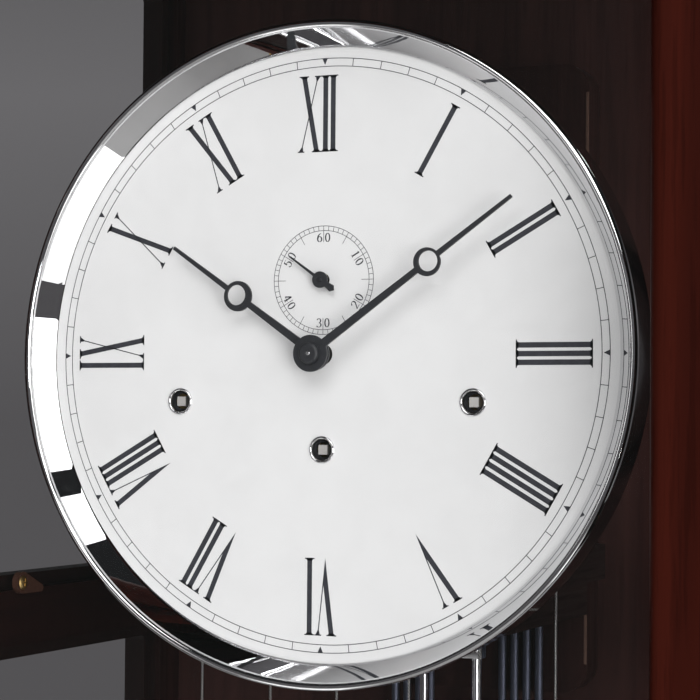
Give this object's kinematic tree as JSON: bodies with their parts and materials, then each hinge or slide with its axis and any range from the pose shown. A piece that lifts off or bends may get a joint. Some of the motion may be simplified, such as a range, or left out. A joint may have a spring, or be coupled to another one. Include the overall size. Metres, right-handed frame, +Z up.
{
  "type": "grandfather clock",
  "caption": "Tall glazed mahogany floor clock with a round white Roman dial in a chrome drum bezel, cable-hung weights, a rod pendulum, chime rods and a geared movement.",
  "frame": {"origin": "floor level under the middle of the clock's outer box", "axes": "+Z up, -Y towards the viewer out of the dial, +X to the viewer's right"},
  "size_m": [0.44, 0.304, 1.92],
  "materials": {
    "mahogany": "polished dark red mahogany",
    "dark_mahogany": "polished dark mahogany board",
    "foot_rubber": "matt black",
    "glass": "clear",
    "brown_plastic": "moulded brown",
    "aged_brass": "satin",
    "dial_white": "satin white",
    "chrome": "polished",
    "clock_brass": "lacquered",
    "steel": "bright",
    "hand_black": "black",
    "cast_block": "dark",
    "blued_steel": "blued",
    "hammer_brass": "turned"
  },
  "bodies": {
    "case": {"plinth": "mahogany", "levelling_feet": "foot_rubber", "left_side_frame": "mahogany", "right_side_frame": "mahogany", "side_panes": "glass", "back_panel": "mahogany", "back_pad": "dark_mahogany", "crown": "mahogany", "seat_board": "mahogany", "bracket_arms": "mahogany", "chime_blocks": "cast_block", "chime_rods": "blued_steel", "dial_plate": "dial_white", "bezel": "chrome", "winding_ferrules": "chrome", "movement_posts": "clock_brass", "front_plate": "clock_brass", "back_plate": "clock_brass", "suspension_bracket": "clock_brass", "hinge_case_leaves": "aged_brass", "hammer_rail": "steel", "strike_cable": "steel", "time_cable": "steel", "chime_cable": "steel"},
    "door": {"door_frame": "mahogany", "door_glass": "glass", "hinge_door_leaves": "aged_brass", "door_knob": "aged_brass"},
    "minute": {"minute_hand": "hand_black", "hand_nut": "hand_black", "cannon_pinion": "steel"},
    "hour": {"hour_hand": "hand_black", "hour_wheel": "clock_brass"},
    "motion": {"minute_wheel": "clock_brass"},
    "seconds": {"seconds_hand": "hand_black", "escape_wheel": "clock_brass"},
    "third": {"third_wheel": "clock_brass"},
    "centre": {"centre_wheel": "clock_brass"},
    "great": {"time_great_wheel": "clock_brass"},
    "anchor": {"pallet_anchor": "steel"},
    "pendulum": {"pendulum_frame": "chrome", "pendulum_bob": "chrome"},
    "regulator": {"rating_nut": "chrome"},
    "strike_hammer_gang": {"strike_hammers": "hammer_brass"},
    "left_clip": {"left_turn_clip": "brown_plastic"},
    "right_clip": {"right_turn_clip": "brown_plastic"},
    "strike_drum": {"strike_barrel": "steel"},
    "strike_weight_body": {"strike_weight": "chrome"},
    "strike_sheave": {"strike_pulley": "clock_brass"},
    "time_drum": {"time_barrel": "steel"},
    "time_weight_body": {"time_weight": "chrome"},
    "time_sheave": {"time_pulley": "clock_brass"},
    "chime_drum": {"chime_barrel": "steel"},
    "chime_weight_body": {"chime_weight": "chrome"},
    "chime_sheave": {"chime_pulley": "clock_brass"},
    "chime_hammer_body_1": {"chime_hammer_1": "hammer_brass"},
    "chime_hammer_body_2": {"chime_hammer_2": "hammer_brass"},
    "chime_hammer_body_3": {"chime_hammer_3": "hammer_brass"},
    "chime_hammer_body_4": {"chime_hammer_4": "hammer_brass"}
  },
  "joints": [
    {"name": "door_swing", "type": "hinge", "parent": "case", "child": "door", "pos_m": [0.2002, -0.10575, 0.99], "axis": [0, 0, 1], "range_deg": [0, 110]},
    {"name": "minute_turn", "type": "hinge", "parent": "case", "child": "minute", "pos_m": [0, -0.061, 1.6], "axis": [0, 1, 0], "continuous": true},
    {"name": "hour_turn", "type": "hinge", "parent": "case", "child": "hour", "pos_m": [0, -0.061, 1.6], "axis": [0, 1, 0], "continuous": true},
    {"name": "motion_turn", "type": "hinge", "parent": "case", "child": "motion", "pos_m": [-0.01273, -0.051, 1.58727], "axis": [0, 1, 0], "continuous": true},
    {"name": "seconds_turn", "type": "hinge", "parent": "case", "child": "seconds", "pos_m": [0, -0.061, 1.6325], "axis": [0, 1, 0], "continuous": true},
    {"name": "third_turn", "type": "hinge", "parent": "case", "child": "third", "pos_m": [0.0194, 0.004, 1.61878], "axis": [0, 1, 0], "continuous": true},
    {"name": "centre_turn", "type": "hinge", "parent": "case", "child": "centre", "pos_m": [0, -0.04, 1.6], "axis": [0, 1, 0], "continuous": true},
    {"name": "great_turn", "type": "hinge", "parent": "case", "child": "great", "pos_m": [0, -0.026, 1.5583], "axis": [0, 1, 0], "continuous": true},
    {"name": "pendulum_swing", "type": "hinge", "parent": "case", "child": "pendulum", "pos_m": [0, 0.099, 1.6608], "axis": [0, 1, 0], "range_deg": [-3, 3]},
    {"name": "anchor_rock", "type": "hinge", "parent": "case", "child": "anchor", "pos_m": [0, 0.015, 1.6608], "axis": [0, 1, 0], "range_deg": [-3, 3]},
    {"name": "rating_nut_turn", "type": "hinge", "parent": "pendulum", "child": "regulator", "pos_m": [0, 0.099, 0.586], "axis": [0, 0, 1], "continuous": true},
    {"name": "strike_weight_rise", "type": "slide", "parent": "case", "child": "strike_weight_body", "axis": [0, 0, 1], "range_m": [0, 0.9], "deforming": ["strike_cable"]},
    {"name": "strike_drum_turn", "type": "hinge", "parent": "case", "child": "strike_drum", "pos_m": [-0.07, -0.002, 1.5793], "axis": [0, 1, 0], "range_deg": [-1, 5730]},
    {"name": "strike_sheave_turn", "type": "hinge", "parent": "strike_weight_body", "child": "strike_sheave", "pos_m": [-0.07, -0.002, 0.5085], "axis": [0, 1, 0], "range_deg": [-1, 2866]},
    {"name": "time_weight_rise", "type": "slide", "parent": "case", "child": "time_weight_body", "axis": [0, 0, 1], "range_m": [0, 0.9], "deforming": ["time_cable"]},
    {"name": "time_drum_turn", "type": "hinge", "parent": "case", "child": "time_drum", "pos_m": [0, -0.002, 1.5583], "axis": [0, 1, 0], "range_deg": [-1, 5730]},
    {"name": "time_sheave_turn", "type": "hinge", "parent": "time_weight_body", "child": "time_sheave", "pos_m": [0, -0.002, 0.5085], "axis": [0, 1, 0], "range_deg": [-1, 2866]},
    {"name": "chime_weight_rise", "type": "slide", "parent": "case", "child": "chime_weight_body", "axis": [0, 0, 1], "range_m": [0, 0.9], "deforming": ["chime_cable"]},
    {"name": "chime_drum_turn", "type": "hinge", "parent": "case", "child": "chime_drum", "pos_m": [0.07, -0.002, 1.5793], "axis": [0, 1, 0], "range_deg": [-1, 5730]},
    {"name": "chime_sheave_turn", "type": "hinge", "parent": "chime_weight_body", "child": "chime_sheave", "pos_m": [0.07, -0.002, 0.5085], "axis": [0, 1, 0], "range_deg": [-1, 2866]},
    {"name": "strike_hammer_lift", "type": "hinge", "parent": "case", "child": "strike_hammer_gang", "pos_m": [0, 0.117, 1.548], "axis": [-1, 0, 0], "range_deg": [0, 12]},
    {"name": "chime_hammer_1_lift", "type": "hinge", "parent": "case", "child": "chime_hammer_body_1", "pos_m": [0, 0.117, 1.548], "axis": [-1, 0, 0], "range_deg": [0, 12]},
    {"name": "chime_hammer_2_lift", "type": "hinge", "parent": "case", "child": "chime_hammer_body_2", "pos_m": [0, 0.117, 1.548], "axis": [-1, 0, 0], "range_deg": [0, 12]},
    {"name": "chime_hammer_3_lift", "type": "hinge", "parent": "case", "child": "chime_hammer_body_3", "pos_m": [0, 0.117, 1.548], "axis": [-1, 0, 0], "range_deg": [0, 12]},
    {"name": "chime_hammer_4_lift", "type": "hinge", "parent": "case", "child": "chime_hammer_body_4", "pos_m": [0, 0.117, 1.548], "axis": [-1, 0, 0], "range_deg": [0, 12]},
    {"name": "left_clip_turn", "type": "hinge", "parent": "case", "child": "left_clip", "pos_m": [-0.1776, -0.024, 1.4916], "axis": [1, 0, 0], "range_deg": [0, 102]},
    {"name": "right_clip_turn", "type": "hinge", "parent": "case", "child": "right_clip", "pos_m": [0.1776, -0.024, 1.4916], "axis": [1, 0, 0], "range_deg": [0, 102]}
  ],
  "couplings": [
    {"joint": "motion_turn", "follows": "minute_turn", "ratio": -0.33333},
    {"joint": "hour_turn", "follows": "minute_turn", "ratio": 0.083333},
    {"joint": "third_turn", "follows": "seconds_turn", "ratio": -0.13333},
    {"joint": "centre_turn", "follows": "seconds_turn", "ratio": 0.016667},
    {"joint": "great_turn", "follows": "seconds_turn", "ratio": -0.0013889},
    {"joint": "anchor_rock", "follows": "pendulum_swing", "ratio": 1},
    {"joint": "strike_drum_turn", "follows": "strike_weight_rise", "rad_per_m": 111.11},
    {"joint": "strike_sheave_turn", "follows": "strike_weight_rise", "rad_per_m": 55.556},
    {"joint": "time_drum_turn", "follows": "time_weight_rise", "rad_per_m": 111.11},
    {"joint": "time_sheave_turn", "follows": "time_weight_rise", "rad_per_m": 55.556},
    {"joint": "chime_drum_turn", "follows": "chime_weight_rise", "rad_per_m": 111.11},
    {"joint": "chime_sheave_turn", "follows": "chime_weight_rise", "rad_per_m": 55.556}
  ]
}
